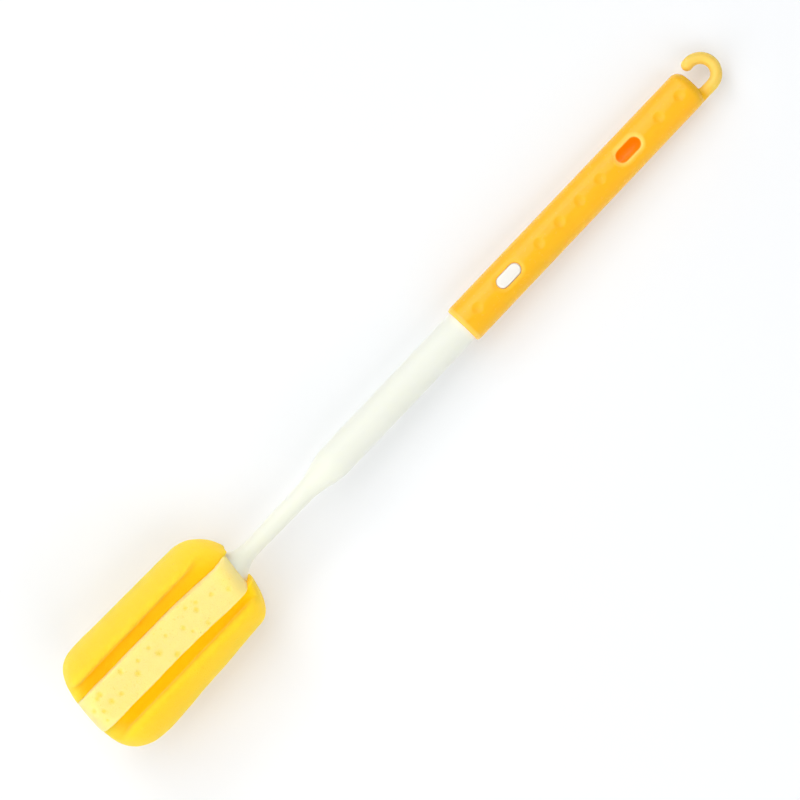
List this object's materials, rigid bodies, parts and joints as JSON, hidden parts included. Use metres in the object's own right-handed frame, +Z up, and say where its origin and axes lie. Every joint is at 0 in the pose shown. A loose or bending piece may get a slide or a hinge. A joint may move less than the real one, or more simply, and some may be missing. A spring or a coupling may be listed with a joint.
{
  "type": "sponge bottle brush",
  "caption": "Telescoping bottle brush: grooved foam head on a slim rod that slides into a tubular handle with lock windows, a lock button and a hanging hook.",
  "frame": {"origin": "under the middle of the brush, on the surface that the foam head's flat lower face rests on", "axes": "+X along the brush from the foam head to the hanging hook, +Z up out of the lock windows"},
  "size_m": [0.4202, 0.0576, 0.0536],
  "materials": {
    "handle_plastic": "satin",
    "rod_plastic": "satin",
    "button_plastic": "satin",
    "spring_steel": "satin",
    "foam_pale": "matte",
    "foam_yellow": "matte"
  },
  "bodies": {
    "handle": {"handle": "handle_plastic"},
    "rod": {"rod": "rod_plastic", "lock_spring": "spring_steel", "foam_core": "foam_pale", "foam_lobe_left": "foam_yellow", "foam_lobe_right": "foam_yellow"},
    "lock_button": {"lock_button": "button_plastic"}
  },
  "joints": [
    {"name": "rod_slide", "type": "slide", "parent": "handle", "child": "rod", "axis": [1, 0, 0], "range_m": [0, 0.08], "deforming": ["lock_button"]},
    {"name": "button_press", "type": "slide", "parent": "rod", "child": "lock_button", "axis": [0, 0, -1], "range_m": [0, 0.00215], "stiffness_N_per_m": 1500, "springref_m": -0.002, "deforming": ["lock_spring"]}
  ]
}
